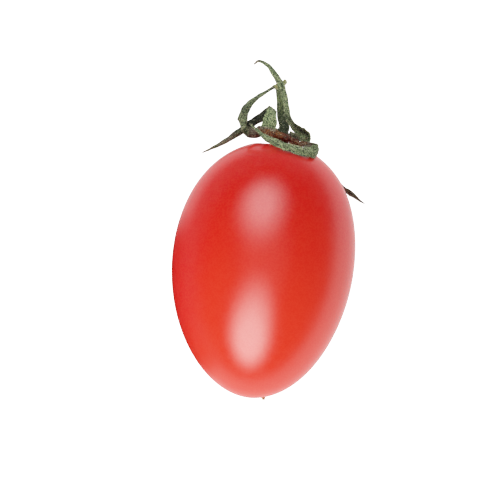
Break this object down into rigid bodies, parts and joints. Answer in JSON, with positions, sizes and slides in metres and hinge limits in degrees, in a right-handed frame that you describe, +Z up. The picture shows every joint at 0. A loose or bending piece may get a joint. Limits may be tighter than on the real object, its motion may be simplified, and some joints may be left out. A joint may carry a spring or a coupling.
{
  "type": "tomato",
  "caption": "Baby plum tomato as picked, lying on its side: glossy egg-shaped fruit with a dried calyx of curled sepals and a snapped stalk.",
  "frame": {"origin": "centre of the small flat spot under the fruit's widest section, on the surface that it rests on", "axes": "+Z up, +Y along the fruit's long axis towards the stem end, +X across"},
  "size_m": [0.0305, 0.0552, 0.0295],
  "materials": {
    "skin": "glossy red tomato skin with fine pores",
    "dried_base": "dry brown plant tissue",
    "stalk": "hairy olive-green plant stalk",
    "sepal": "dried, wrinkled, hairy grey-green leaf",
    "cork": "dry cork-brown scar"
  },
  "bodies": {
    "root": {"fruit": "skin", "calyx_disc": "dried_base", "stalk": "stalk", "hooked_sepal": "sepal", "wrapped_sepal": "sepal", "peaked_sepal": "sepal", "curled_sepal": "sepal", "rear_sepal": "sepal", "style_stub": "cork"}
  },
  "joints": []
}
